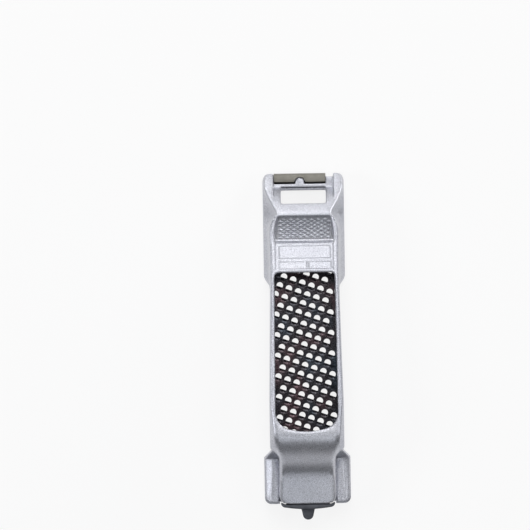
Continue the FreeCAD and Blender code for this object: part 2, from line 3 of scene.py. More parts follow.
import bmesh
import bpy
import numpy as np
import openvdb
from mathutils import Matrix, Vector
from mathutils.geometry import delaunay_2d_cdt
from mathutils.kdtree import KDTree


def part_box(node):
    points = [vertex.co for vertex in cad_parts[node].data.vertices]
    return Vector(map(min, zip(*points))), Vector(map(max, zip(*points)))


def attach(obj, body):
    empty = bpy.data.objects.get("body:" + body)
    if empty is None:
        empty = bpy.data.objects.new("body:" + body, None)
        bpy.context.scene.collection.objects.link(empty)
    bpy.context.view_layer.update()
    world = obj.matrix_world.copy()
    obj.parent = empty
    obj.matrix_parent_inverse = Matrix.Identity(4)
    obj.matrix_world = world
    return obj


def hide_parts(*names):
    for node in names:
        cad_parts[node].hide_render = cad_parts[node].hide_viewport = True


# A small one-hand rasp plane, seen from straight above with its toe up.
# Lengths here are in millimetres until a mesh is made. +Y points to the toe, +Z up.
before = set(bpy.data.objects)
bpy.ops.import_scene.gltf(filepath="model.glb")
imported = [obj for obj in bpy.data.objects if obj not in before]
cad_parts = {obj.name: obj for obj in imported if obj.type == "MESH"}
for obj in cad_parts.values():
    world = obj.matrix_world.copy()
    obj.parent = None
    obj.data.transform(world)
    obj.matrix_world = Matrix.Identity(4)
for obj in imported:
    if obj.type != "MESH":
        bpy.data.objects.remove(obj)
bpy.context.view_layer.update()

MM = 0.001
PER_MM = 1000.0


def node_box(name):
    """The lowest and the highest corner of a CAD node's box, in millimetres."""
    low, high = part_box(name)
    return low * PER_MM, high * PER_MM


_, body_high = node_box("body_casting")
_, blade_high = node_box("rasp_blade")

# Stations of the casting along Y, measured back from the toe
toe_y = body_high.y
ridge_y = toe_y - 17.9
groove_y = ridge_y - 12.9
window_front_y = groove_y - 13.65

# Values that several pieces share
sharp_angle = 40
merge_distance = 1e-5
blur_sigmas = 2.5


def smooth_step(value, start, end):
    """A smooth rise from 0 at the start to 1 at the end."""
    share = np.clip((value - start) / (end - start), 0, 1)
    return share * share * (3 - 2 * share)


# Volumes

def level_set(name, voxel, band):
    """Signed distances around a CAD node on a regular grid, and the grid's first cell."""
    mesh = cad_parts[name].data
    points = np.empty(len(mesh.vertices) * 3, np.float32)
    mesh.vertices.foreach_get("co", points)
    mesh.calc_loop_triangles()
    corners = np.empty(len(mesh.loop_triangles) * 3, np.int32)
    mesh.loop_triangles.foreach_get("vertices", corners)
    grid = openvdb.FloatGrid.createLevelSetFromPolygons(
        points.reshape(-1, 3) * np.float32(PER_MM),
        triangles=corners.reshape(-1, 3).astype(np.uint32),
        transform=openvdb.createLinearTransform(voxelSize=voxel),
        halfWidth=band)
    low, high = grid.evalActiveVoxelBoundingBox()
    field = np.full([high[axis] - low[axis] + 1 for axis in range(3)], voxel * band, np.float32)
    grid.copyToArray(field, ijk=low)
    return field, low


def blur_weights(sigma):
    """How many cells a Gaussian blur reaches to either side, and the weight of each cell."""
    reach = int(math.ceil(sigma * blur_sigmas))
    weights = [math.exp(-0.5 * (step / sigma) ** 2) for step in range(-reach, reach + 1)]
    total = sum(weights)
    return reach, [weight / total for weight in weights]


def soften(field, sigma):
    """A Gaussian blur of the distances, sigma in cells, which rounds every edge."""
    reach, weights = blur_weights(sigma)
    for axis in range(3):
        padding = [(reach, reach) if axis == other else (0, 0) for other in range(3)]
        padded = np.pad(field, padding, mode="edge")
        total = np.zeros_like(field)
        for step, weight in enumerate(weights):
            cells = [slice(None)] * 3
            cells[axis] = slice(step, step + field.shape[axis])
            total += np.float32(weight) * padded[tuple(cells)]
        field = total
    return field


def volume_polygons(field, low, voxel, adaptivity):
    """Points in millimetres and faces on the zero surface of the distances."""
    grid = openvdb.FloatGrid(float(field.max()))
    grid.copyFromArray(field, ijk=low, tolerance=0.0)
    grid.transform = openvdb.createLinearTransform(voxelSize=voxel)
    grid.gridClass = openvdb.GridClass.LEVEL_SET
    points, triangles, quads = grid.convertToPolygons(0.0, adaptivity)
    faces = [tuple(reversed(face)) for face in triangles.tolist() + quads.tolist()]
    return points, faces


def mesh_piece(name, points, faces):
    """An object of the scene with these points, in metres, and these faces, all shaded smooth."""
    mesh = bpy.data.meshes.new(name)
    mesh.from_pydata([tuple(place) for place in np.asarray(points).tolist()], [], faces)
    mesh.validate()
    mesh.update()
    mesh.polygons.foreach_set("use_smooth", [True] * len(mesh.polygons))
    piece = bpy.data.objects.new(name, mesh)
    bpy.context.scene.collection.objects.link(piece)
    return piece


def in_outline(places, outline):
    """Which of these places lie inside an outline, given as the start and end of each side."""
    x, y = places[:, 0], places[:, 1]
    found = np.zeros(len(places), bool)
    for (start_x, start_y), (end_x, end_y) in outline:
        if start_y == end_y:
            continue
        between = (start_y > y) != (end_y > y)
        edge_x = start_x + (y - start_y) * (end_x - start_x) / (end_y - start_y)
        found ^= between & (x < edge_x)
    return found


# Materials

class Shader:
    """A small helper for a Principled material and the nodes that feed it."""

    def __init__(self, name):
        self.material = bpy.data.materials.new(name)
        self.material.use_nodes = True
        self.nodes = self.material.node_tree.nodes
        self.links = self.material.node_tree.links
        self.surface = self.nodes["Principled BSDF"]
        self.places = self.nodes.new("ShaderNodeTexCoord").outputs["Object"]

    def set(self, **values):
        for key, value in values.items():
            self.surface.inputs[key.replace("_", " ")].default_value = value

    def noise(self, scale, detail=2.0, roughness=0.5, places=None):
        node = self.nodes.new("ShaderNodeTexNoise")
        node.inputs["Scale"].default_value = scale
        node.inputs["Detail"].default_value = detail
        node.inputs["Roughness"].default_value = roughness
        self.links.new(places or self.places, node.inputs["Vector"])
        return node.outputs["Fac"]

    def stretched(self, x, y, z):
        node = self.nodes.new("ShaderNodeMapping")
        node.inputs["Scale"].default_value = (x, y, z)
        self.links.new(self.places, node.inputs["Vector"])
        return node.outputs["Vector"]

    def ramp(self, value, stops):
        node = self.nodes.new("ShaderNodeValToRGB")
        points = node.color_ramp.elements
        while len(points) < len(stops):
            points.new(0.5)
        for point, (place, colour) in zip(points, stops):
            point.position = place
            point.color = (*colour, 1)
        self.links.new(value, node.inputs["Fac"])
        return node.outputs["Color"]

    def grey(self, value, low, high, start=0.0, end=1.0):
        node = self.nodes.new("ShaderNodeMapRange")
        node.inputs["From Min"].default_value = start
        node.inputs["From Max"].default_value = end
        node.inputs["To Min"].default_value = low
        node.inputs["To Max"].default_value = high
        self.links.new(value, node.inputs["Value"])
        return node.outputs["Result"]

    def multiply(self, first, second):
        node = self.nodes.new("ShaderNodeMix")
        node.data_type = "RGBA"
        node.blend_type = "MULTIPLY"
        node.inputs["Factor"].default_value = 1.0
        self.links.new(first, node.inputs["A"])
        self.links.new(second, node.inputs["B"])
        return node.outputs["Result"]

    def bump(self, height, depth, strength, normal=None):
        node = self.nodes.new("ShaderNodeBump")
        node.inputs["Distance"].default_value = depth
        node.inputs["Strength"].default_value = strength
        self.links.new(height, node.inputs["Height"])
        if normal:
            self.links.new(normal, node.inputs["Normal"])
        return node.outputs["Normal"]

    def feed(self, socket, value):
        self.links.new(value, self.surface.inputs[socket])


def silver_coat(name, shade):
    """Sprayed silver on a die casting, times a shade factor, which below 1 gives a copy with
    painted shade: grains, an orange peel and clouds.
    """
    shader = Shader(name)
    shader.set(Metallic=0.85, IOR=1.5, Coat_Weight=0.1, Coat_Roughness=0.3)
    grains = shader.noise(2700.0, detail=4.0, roughness=0.7)
    flakes = shader.noise(4200.0, detail=2.0, roughness=0.5)
    clouds = shader.noise(45.0, detail=3.0, roughness=0.55)
    speckle = shader.ramp(grains, [
        (0.34, (0.40, 0.40, 0.42)), (0.5, (0.80, 0.80, 0.80)), (0.64, (1.0, 1.0, 1.0))])
    sparkle = shader.ramp(flakes, [(0.35, (0.72, 0.72, 0.73)), (0.6, (1.0, 1.0, 1.0))])
    darker = (0.73 * shade, 0.745 * shade, 0.815 * shade)
    lighter = (0.83 * shade, 0.84 * shade, 0.90 * shade)
    tint = shader.ramp(clouds, [(0.3, darker), (0.7, lighter)])
    shader.feed("Base Color", shader.multiply(shader.multiply(tint, speckle), sparkle))
    shader.feed("Roughness", shader.grey(flakes, low=0.30, high=0.48, start=0.35, end=0.65))
    peel = shader.noise(1500.0, detail=2.0)
    fine = shader.bump(grains, depth=0.0001, strength=0.65)
    shader.feed("Normal", shader.bump(peel, depth=0.0001, strength=0.2, normal=fine))
    return shader.material


def black_oxide():
    """Blued spring steel: near black, glossy, with faint straw and blue clouds."""
    shader = Shader("black_oxide")
    shader.set(Metallic=0.85, IOR=1.6, Coat_Weight=0.2, Coat_Roughness=0.12)
    places = shader.stretched(1.0, 0.7, 1.0)
    clouds = shader.noise(95.0, detail=2.0, roughness=0.5, places=places)
    tint = shader.ramp(clouds, [
        (0.34, (0.085, 0.052, 0.060)), (0.46, (0.042, 0.036, 0.042)),
        (0.58, (0.040, 0.040, 0.049)), (0.70, (0.046, 0.060, 0.078))])
    shader.feed("Base Color", tint)
    smears = shader.noise(700.0, detail=3.0)
    shader.feed("Roughness", shader.grey(smears, low=0.18, high=0.32, start=0.3, end=0.7))
    dimples = shader.noise(1800.0, detail=2.0)
    shader.feed("Normal", shader.bump(dimples, depth=0.00005, strength=0.25))
    return shader.material


def bare_lip():
    """The dull bare steel of the wrapped lip, with rolling marks along it."""
    shader = Shader("bare_lip")
    shader.set(Metallic=0.6, IOR=1.5)
    places = shader.stretched(0.06, 1.0, 1.0)
    marks = shader.noise(900.0, detail=4.0, roughness=0.6, places=places)
    stains = shader.noise(160.0, detail=3.0, roughness=0.6)
    tint = shader.ramp(stains, [(0.3, (0.20, 0.19, 0.165)), (0.7, (0.28, 0.27, 0.24))])
    streak = shader.ramp(marks, [(0.3, (0.78, 0.78, 0.78)), (0.7, (1.0, 1.0, 1.0))])
    shader.feed("Base Color", shader.multiply(tint, streak))
    shader.feed("Roughness", shader.grey(marks, low=0.46, high=0.62, start=0.3, end=0.7))
    shader.feed("Normal", shader.bump(marks, depth=0.00004, strength=0.25))
    return shader.material


def painted_slot_shade():
    """Near black painted shade for the deep, narrow slot behind the lip, with faint blotches."""
    shader = Shader("painted_slot_shade")
    shader.set(Metallic=0.2, IOR=1.45)
    shade_blotches = shader.noise(700.0, detail=3.0, roughness=0.6)
    tint = shader.ramp(shade_blotches, [(0.3, (0.012, 0.012, 0.013)), (0.7, (0.035, 0.034, 0.033))])
    shader.feed("Base Color", tint)
    shader.feed("Roughness", shader.grey(shade_blotches, low=0.55, high=0.8, start=0.3, end=0.7))
    shader.feed("Normal", shader.bump(shade_blotches, depth=0.00008, strength=0.3))
    return shader.material


def charcoal_steel():
    """The lever's dark satin finish, rubbed a little lighter."""
    shader = Shader("charcoal_steel")
    shader.set(Metallic=0.5, IOR=1.5)
    clouds = shader.noise(140.0, detail=4.0, roughness=0.6)
    tint = shader.ramp(clouds, [(0.3, (0.065, 0.069, 0.081)), (0.7, (0.123, 0.130, 0.150))])
    shader.feed("Base Color", tint)
    smears = shader.noise(1200.0, detail=3.0)
    shader.feed("Roughness", shader.grey(smears, low=0.38, high=0.55, start=0.3, end=0.7))
    dimples = shader.noise(1500.0, detail=2.0)
    shader.feed("Normal", shader.bump(dimples, depth=0.00008, strength=0.3))
    return shader.material


def turned_steel():
    """Bright turned steel of the pin and the cross bar."""
    shader = Shader("turned_steel")
    shader.set(Metallic=1.0)
    places = shader.stretched(1.0, 0.05, 0.05)
    rings = shader.noise(2200.0, detail=3.0, roughness=0.6, places=places)
    tint = shader.ramp(rings, [(0.3, (0.42, 0.42, 0.43)), (0.7, (0.58, 0.58, 0.59))])
    shader.feed("Base Color", tint)
    shader.feed("Roughness", shader.grey(rings, low=0.25, high=0.42, start=0.3, end=0.7))
    shader.feed("Normal", shader.bump(rings, depth=0.00004, strength=0.3))
    return shader.material


silver = silver_coat("silver_coat", 1.0)
# A darker copy of the silver: painted shade for the knurl's grooves between the diamonds
groove_shade_silver = silver_coat("silver_with_painted_groove_shade", 0.45)
black = black_oxide()
lip_steel = bare_lip()
slot_shade_material = painted_slot_shade()
charcoal = charcoal_steel()
turned = turned_steel()

# Body

body_voxel = 0.25
body_band = 8
body_adaptivity = 0.005
body_sharp_angle = 55
soft_radius = 0.42
crisp_radius = 0.16

# Where the edges stay crisp. Each pair is the start and the end of a fade: along Y or back from
# the middle (behind), or out from the middle (side)
crisp_toe_y = (toe_y - 8.6, toe_y - 7.4)
crisp_toe_side = (13.6, 14.4)
crisp_wing_behind = (46.0, 48.0)
crisp_wing_side = (12.6, 13.6)
crisp_heel_behind = (67.2, 68.2)

# How the top is eased: the palm rest's curve, the tail, the wings' creases and the ridge
spine_x = 0.0
palm_crest_y = toe_y - 116.2
palm_middle_y = toe_y - 128.0
palm_foot_y = toe_y - 135.7
palm_half = 12.6
palm_fade = 1.6
tail_slope = 0.23
tail_half = 12.3
tail_square = 0.75
tail_lift = 1.6
tail_behind = (-palm_foot_y - 1.5, -palm_foot_y + 2.0)
wing_start = 50.5
wing_end = 69.0
wing_end_fade = 1.2
wing_inner = 14.0
wing_outer = 17.8
wing_side_fade = 0.8
crease_round = 0.9
crease_limit = 0.4
ridge_rear_y = ridge_y - 3.2
ridge_front_y = ridge_y + 2.8
ridge_fade = 1.0
ridge_side = (12.4, 13.6)
ridge_round = 0.5
ridge_cut = 0.5
ridge_rise = 0.2
top_reach = 0.4

# The narrow slot behind the lip, whose faces get near black painted shade
slot_rear_y = toe_y - 4.75
slot_front_y = toe_y - 3.3
slot_left = -13.0
slot_right = 10.0
slot_top_z = 6.75

# The knurl and the bed that it stands in
knurl_pitch_x = 3.05
knurl_shift_x = 0.3
knurl_pitch_y = 1.77
knurl_height = 0.5
knurl_rise = (0.04, 0.82)
knurl_sink = 0.45
knurl_front_y = ridge_y - 2.0
knurl_rear_y = groove_y + 1.3
knurl_front_half = 11.3
knurl_rear_half = 12.85
bed_front_behind = (0.9, 2.1)
bed_rear_behind = (11.5, 12.3)
bed_side_inner = 0.2
bed_side_outer = 0.9
# bed_share and groove_share pick the knurl's low faces, which take the silver copy with painted
# shade
bed_share = 0.9
groove_share = 0.1

# The deck's finer faces, the cross groove and the blank panel with its plates.
# Boxes are left, right, near and far
deck_half = 14.2
deck_front_y = ridge_y - 0.6
deck_rear_y = window_front_y + 0.8
deck_spacing = 0.16
deck_fade = (0.2, 0.5)
deck_reach = 1.0
groove_half = 12.9
groove_end_fade = 0.3
groove_half_width = 0.5
groove_bottom = 0.1
groove_depth = 0.55
line_crest = 0.06
line_half_width = 0.24
border_box = (-12.95, 12.9, window_front_y - 3.0, groove_y)
border_start = (window_front_y + 0.9, window_front_y + 1.6)
border_end_y = groove_y - 0.5
border_lift = -0.16
plate_boxes = [
    (-11.2, 11.7, window_front_y + 6.7, groove_y - 1.6),
    (-11.2, 1.3, window_front_y + 1.85, window_front_y + 5.0),
    (2.0, 11.9, window_front_y + 1.85, window_front_y + 5.0)]
plate_lift = 0.14
rim_blend = 1.0
rim_neighbours = 4
rim_nearest = 0.02


def body_field():
    """The casting's distances: soft edges, but crisp ones round the toe bar, wings and heel."""
    field, low = level_set("body_casting", body_voxel, body_band)
    soft = soften(field, soft_radius / body_voxel)
    crisp = soften(field, crisp_radius / body_voxel)
    x, y, z = cell_places(field, low, body_voxel)
    toe = smooth_step(y, *crisp_toe_y) * (1 - smooth_step(np.abs(x), *crisp_toe_side))
    wings = smooth_step(-y, *crisp_wing_behind) * smooth_step(np.abs(x), *crisp_wing_side)
    heel = smooth_step(-y, *crisp_heel_behind) * np.ones_like(x)
    share = (np.maximum(toe, np.maximum(wings, heel)) * np.ones_like(z)).astype(np.float32)
    return soft + (crisp - soft) * share, low


def cell_places(field, low, voxel):
    """Three arrays of the cells' X, Y and Z that spread over the whole grid."""
    places = [(low[axis] + np.arange(field.shape[axis])) * voxel for axis in range(3)]
    x, y, z = [place.astype(np.float32) for place in places]
    return x[:, None, None], y[None, :, None], z[None, None, :]


def top_heights(field, low, voxel):
    """Height of the highest surface over each column of cells."""
    filled = field[:, :, ::-1] < 0
    last = field.shape[2] - 1 - filled.argmax(axis=2)
    last = np.clip(last, 0, field.shape[2] - 2)
    inside = np.take_along_axis(field, last[:, :, None], axis=2)[:, :, 0]
    outside = np.take_along_axis(field, last[:, :, None] + 1, axis=2)[:, :, 0]
    share = np.clip(-inside / np.maximum(outside - inside, 1e-6), 0, 1)
    return (low[2] + last + share) * voxel


def between_cells(heights, low, voxel, x, y):
    """Bilinear reading of a table of heights."""
    column = x / voxel - low[0]
    row = y / voxel - low[1]
    first = np.clip(np.floor(column).astype(int), 0, heights.shape[0] - 2)
    second = np.clip(np.floor(row).astype(int), 0, heights.shape[1] - 2)
    across, along = column - first, row - second
    near = heights[first, second] * (1 - across) + heights[first + 1, second] * across
    far = heights[first, second + 1] * (1 - across) + heights[first + 1, second + 1] * across
    return near * (1 - along) + far * along


def blurred(heights, axis, sigma):
    """The heights blurred along one axis only, sigma in cells."""
    reach, weights = blur_weights(sigma)
    total = np.zeros_like(heights)
    for step, weight in zip(range(-reach, reach + 1), weights):
        total += weight * np.roll(heights, step, axis=axis)
    return total


def within(value, start, end, fade):
    """1 between the start and the end, and falling to 0 over the fade inside them."""
    return smooth_step(value, start, start + fade) * (1 - smooth_step(value, end - fade, end))


def palm_height(y, crest, foot):
    """The palm rest's S-curve: ever steeper from its crest to its middle, flatter to its foot."""
    upper = palm_crest_y - palm_middle_y
    lower = palm_middle_y - palm_foot_y
    steepest = (crest - foot - tail_slope * lower / 2) / ((upper + lower) / 2)
    down = np.clip(palm_crest_y - y, 0, upper)
    further = np.clip(palm_middle_y - y, 0, lower)
    return (crest - steepest * down ** 2 / (2 * upper)
            - steepest * further + (steepest - tail_slope) * further ** 2 / (2 * lower))


def eased_heights(heights, low):
    """The top with a rounder ridge, the palm's S-curve, a squarer tail and softer wing creases."""
    x = ((low[0] + np.arange(heights.shape[0])) * body_voxel)[:, None]
    y = ((low[1] + np.arange(heights.shape[1])) * body_voxel)[None, :]
    side = np.abs(x)
    along_spine = np.full(heights.shape[1], spine_x)
    spine = between_cells(heights, low, body_voxel, along_spine, y[0])[None, :]
    ends_y = np.array([palm_crest_y, palm_foot_y])
    ends = between_cells(heights, low, body_voxel, np.full(2, spine_x), ends_y)
    palm = (y < palm_crest_y) & (y > palm_foot_y)
    palm_share = 1 - smooth_step(side, palm_half, palm_half + palm_fade)
    shift = np.where(palm, palm_height(y, *ends) - spine, 0) * palm_share
    tail = smooth_step(-y, *tail_behind) * (side < tail_half)
    shift = shift + tail_square * np.clip(spine - heights, 0, tail_lift) * tail
    wing = within(-y, wing_start, wing_end, wing_end_fade)
    wing = wing * within(side, wing_inner, wing_outer, wing_side_fade)
    across = blurred(heights, 0, crease_round / body_voxel) - heights
    shift = shift + np.clip(across, -crease_limit, crease_limit) * wing
    ridge = within(y, ridge_rear_y, ridge_front_y, ridge_fade)
    ridge = ridge * (1 - smooth_step(side, *ridge_side))
    along = blurred(heights, 1, ridge_round / body_voxel) - heights
    shift = shift + np.clip(along, -ridge_cut, ridge_rise) * ridge
    return heights + shift


def ease_top(points, heights, eased, low):
    """Move the points of the top surface to the eased heights."""
    x, y = points[:, 0], points[:, 1]
    top = between_cells(heights, low, body_voxel, x, y)
    shift = between_cells(eased - heights, low, body_voxel, x, y)
    points = points.copy()
    points[:, 2] += shift * (np.abs(points[:, 2] - top) < top_reach)
    return points


def knurl(x, y):
    """Rows of raised diamonds, every second row moved along by half a diamond."""
    height = np.zeros_like(x)
    for shift in (0.0, 0.5):
        column = np.round((x - knurl_shift_x) / knurl_pitch_x - shift) + shift
        row = np.round((knurl_front_y - y) / knurl_pitch_y - shift - 0.5) + shift + 0.5
        centre_x = knurl_shift_x + column * knurl_pitch_x
        centre_y = knurl_front_y - row * knurl_pitch_y
        away = np.abs(x - centre_x) * 2 / knurl_pitch_x
        away = away + np.abs(y - centre_y) * 2 / knurl_pitch_y
        share = (ridge_y - centre_y) / (ridge_y - groove_y)
        half = knurl_front_half + (knurl_rear_half - knurl_front_half) * share
        inside = (np.abs(centre_x) < half - knurl_pitch_x / 4) & (row > 0)
        inside &= centre_y > knurl_rear_y
        rise = smooth_step(1 - away, *knurl_rise)
        height = np.where(inside, np.maximum(height, knurl_height * rise), height)
    return height


def outline_line(x, y, box, lift):
    """A soft raised or sunken line along the edge of a box: left, right, near and far."""
    left, right, near, far = box
    away_x = np.abs(x - (left + right) / 2) - (right - left) / 2
    away_y = np.abs(y - (near + far) / 2) - (far - near) / 2
    away = np.abs(np.maximum(away_x, away_y))
    return lift * (1 - smooth_step(away, line_crest, line_half_width))


def knurl_bed(x, y):
    """The sunken bed of the knurl, with a soft wall all round."""
    behind = ridge_y - y
    along = smooth_step(behind, *bed_front_behind) * (1 - smooth_step(behind, *bed_rear_behind))
    half = knurl_front_half + (knurl_rear_half - knurl_front_half) * behind / (ridge_y - groove_y)
    away = np.abs(x - knurl_shift_x)
    across = 1 - smooth_step(away, half - bed_side_inner, half + bed_side_outer)
    return knurl_sink * along * across


def deck_relief(x, y):
    """Height that the deck's pattern adds: knurl, groove, border and two rows of blank plates."""
    across = smooth_step(np.abs(y - groove_y), groove_bottom, groove_half_width)
    groove = groove_depth * (1 - across)
    groove *= 1 - smooth_step(np.abs(x), groove_half - groove_end_fade, groove_half)
    border = outline_line(x, y, border_box, border_lift) * smooth_step(y, *border_start)
    height = knurl(x, y) - knurl_bed(x, y) - groove + border * (y < border_end_y)
    for box in plate_boxes:
        height = height + outline_line(x, y, box, plate_lift)
    return height


def fit_deck(points, faces, heights, low):
    """Swap the deck's faces for finer ones that carry the pattern, joined to the rest all round."""
    centres = np.array([points[list(face)].mean(axis=0) for face in faces])
    top = between_cells(heights, low, body_voxel, centres[:, 0], centres[:, 1])
    taken = (np.abs(centres[:, 0]) < deck_half) & (centres[:, 1] > deck_rear_y)
    taken &= (centres[:, 1] < deck_front_y) & (np.abs(centres[:, 2] - top) < deck_reach)
    kept = [face for face, gone in zip(faces, taken) if not gone]
    sides = set()
    for face in (face for face, gone in zip(faces, taken) if gone):
        sides.update(zip(face, face[1:] + face[:1]))
    rim = [side for side in sides if side[::-1] not in sides]
    rim_points = sorted({index for side in rim for index in side})
    order = {index: place for place, index in enumerate(rim_points)}

    count = len(rim_points)
    columns = np.arange(-deck_half + deck_spacing, deck_half, deck_spacing)
    rows = np.arange(deck_rear_y + deck_spacing, deck_front_y, deck_spacing)
    loose = np.array([(x, y) for y in rows for x in columns])
    rim_places = points[rim_points][:, :2]
    places = [Vector(place) for place in rim_places.tolist() + loose.tolist()]
    edges = [(order[start], order[end]) for start, end in rim]
    result = delaunay_2d_cdt(places, edges, [], 1, merge_distance, True)
    made, _, triangles, sources, _, _ = result

    flat = np.array([(place.x, place.y) for place in made])
    z = between_cells(heights, low, body_voxel, flat[:, 0], flat[:, 1])
    edge = np.minimum(deck_half - np.abs(flat[:, 0]),
                      np.minimum(deck_front_y - flat[:, 1], flat[:, 1] - deck_rear_y))
    z += deck_relief(flat[:, 0], flat[:, 1]) * smooth_step(edge, *deck_fade)
    rim_gap = points[rim_points][:, 2] - between_cells(heights, low, body_voxel, *rim_places.T)
    rim_tree = KDTree(count)
    for index, place in enumerate(rim_places.tolist()):
        rim_tree.insert((*place, 0), index)
    rim_tree.balance()
    for index in np.flatnonzero(edge < rim_blend):
        near = rim_tree.find_n((*flat[index], 0), rim_neighbours)
        weights = [1 / (away + rim_nearest) ** 2 for _, _, away in near]
        gaps = [weight * rim_gap[source] for weight, (_, source, _) in zip(weights, near)]
        gap = sum(gaps) / sum(weights)
        z[index] += gap * (1 - smooth_step(near[0][2], 0, rim_blend))
    new_points, numbers = [], []
    for place, height, group in zip(flat.tolist(), z.tolist(), sources):
        rim_source = next((source for source in group if source < count), None)
        if rim_source is not None:
            numbers.append(rim_points[rim_source])
            continue
        numbers.append(len(points) + len(new_points))
        new_points.append((*place, height))
    outline = [(points[start][:2], points[end][:2]) for start, end in rim]
    stays = in_outline(flat[np.array(triangles)].mean(axis=1), outline)
    for triangle, inside in zip(triangles, stays):
        if inside:
            kept.append(tuple(numbers[index] for index in triangle))
    return np.vstack([points, np.array(new_points)]), kept


def make_body():
    """The casting: softened, its top eased and its deck patterned, with painted shade in the
    knurl's grooves and in the slot.
    """
    field, low = body_field()
    points, faces = volume_polygons(field, low, body_voxel, body_adaptivity)
    heights = top_heights(field, low, body_voxel)
    eased = eased_heights(heights, low)
    points, faces = fit_deck(ease_top(points, heights, eased, low), faces, eased, low)
    piece = mesh_piece("cast_body", points * MM, faces)
    piece.data.set_sharp_from_angle(angle=math.radians(body_sharp_angle))
    for material in (silver, slot_shade_material, groove_shade_silver):
        piece.data.materials.append(material)
    centres = np.empty(len(piece.data.polygons) * 3)
    piece.data.polygons.foreach_get("center", centres)
    x, y, z = (centres.reshape(-1, 3) * PER_MM).T
    # The slot's faces take near black painted shade for the deep gap behind the lip
    slot = (y > slot_rear_y) & (y < slot_front_y) & (x > slot_left) & (x < slot_right)
    slot &= z < slot_top_z
    # Low faces in the knurl's bed take the silver copy with painted shade for its grooves
    bed = knurl_bed(x, y) > knurl_sink * bed_share
    bed &= knurl(x, y) < knurl_height * groove_share
    bed &= z > between_cells(eased, low, body_voxel, x, y) - deck_reach
    piece.data.polygons.foreach_set("material_index", np.where(slot, 1, np.where(bed, 2, 0)))
    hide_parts("body_casting")
    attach(piece, "body")


make_body()

# Blade

# The flat pattern of the blade uses X and a developed length that equals Y on the plate
blade_thickness = 0.5
plate_z = 0.9
plate_half = blade_high.x
flange_outer = 0.8
flange_top_z = 4.3
flange_front_y = toe_y - 19.5
flange_rear_y = toe_y - 122.0
plate_front_y = toe_y - 6.6
plate_rear_y = toe_y - 131.5
bar_y = toe_y - 3.1
bar_z = 4.0
lip_outer = 3.1
lip_left = -13.05
lip_right = 10.05
lip_fold_y = toe_y - 3.8
lip_notch_x = -1.5
lip_notch_y = lip_fold_y - 0.4
lip_notch_radius = 2.55
tab_half = 5.9
web_half = 4.9
web_outer = 1.2
web_rear_y = -63.15
web_top_z = 10.0
relief = 0.5
flange_root = 0.1
bend_slack = 0.01
edge_spacing = 0.5
lip_corner_reach = 0.5

# A tooth is a half-moon hole with its straight edge at the heel, and a scoop pressed behind it
tooth_half = 1.36
tooth_crown = 1.25
tooth_heel = 0.75
scoop_length = 1.5
scoop_steep_share = 0.2
scoop_slack = 0.001
scoop_power = 2.6
row_step = Vector((4.069, -1.435))
column_step = Vector((-1.948, -3.9))
first_tooth = Vector((-2.39, toe_y - 80.41))
tooth_field_half = 13.15
tooth_front_y = toe_y - 19.0
tooth_rear_y = toe_y - 127.5
tooth_search = 60
nose_hole_half = 10.35
nose_hole_rear_y = toe_y - 13.85
nose_hole_front_y = toe_y - 7.35
nose_hole_corner = 0.5

# How finely the curves and bends are divided
notch_steps = 16
tooth_arc_steps = 12
tooth_edge_steps = 10
flange_bend = (4, 70)
lip_bend = (16, 20)
web_bend = (5, 8)
scoop_backs = (0.2, 0.4, 0.6, 0.8, 1.0, 1.25, 1.5)
scoop_steps = 4
hole_margin = 0.12


def middle(outer):
    """Radius of the sheet's middle in a bend with this outer radius."""
    return outer - blade_thickness / 2


flange_bend_x = plate_half - flange_outer
flange_turn_end = flange_bend_x + middle(flange_outer) * math.pi / 2
flange_reach = flange_turn_end + flange_top_z - plate_z - flange_outer
lip_turn_end = bar_y + middle(lip_outer) * math.pi
lip_end = lip_turn_end + bar_y - lip_fold_y
web_bend_y = web_rear_y + web_outer
web_turn_end = web_bend_y - middle(web_outer) * math.pi / 2
web_end = web_turn_end - (web_top_z - plate_z - web_outer)


def tooth_places():
    """The middle of every tooth: a slanting grid, as far as it lies in the field of teeth."""
    places = []
    for row in range(-tooth_search, tooth_search):
        for column in range(-tooth_search, tooth_search):
            place = first_tooth + row * row_step + column * column_step
            if abs(place.x) <= tooth_field_half and tooth_rear_y <= place.y <= tooth_front_y:
                places.append(place)
    return places


teeth = tooth_places()
tooth_along = row_step.normalized()
tooth_forward = Vector((-tooth_along.y, tooth_along.x))


def beside(tooth, along, forward):
    """A place given in a tooth's own directions, along its edge and towards the toe."""
    return tooth + tooth_along * along + tooth_forward * forward


def own_places(tooth, x, y):
    """Places given in a tooth's own directions."""
    away_x, away_y = x - tooth.x, y - tooth.y
    return (away_x * tooth_along.x + away_y * tooth_along.y,
            away_x * tooth_forward.x + away_y * tooth_forward.y)


def scoop_depth(x, y):
    """How far the teeth press the sheet down at each place of the plate."""
    depth = np.zeros_like(x)
    for tooth in teeth:
        along, forward = own_places(tooth, x, y)
        across = along / tooth_half
        back = (-tooth_heel - forward) / scoop_length
        inside = (np.abs(across) < 1) & (back > -scoop_slack) & (back < 1)
        left = np.minimum(1 - np.clip(back, 0, 1), 1 - scoop_steep_share)
        steep = np.clip(scoop_steep_share - back, 0, None)
        dip = left ** 2 / 2 + (1 - scoop_steep_share) * steep
        dip /= (1 - scoop_steep_share) * (1 + scoop_steep_share) / 2
        bowl = plate_z * dip * (1 - np.clip(np.abs(across), 0, 1) ** scoop_power)
        depth = np.where(inside, np.maximum(depth, bowl), depth)
    return depth


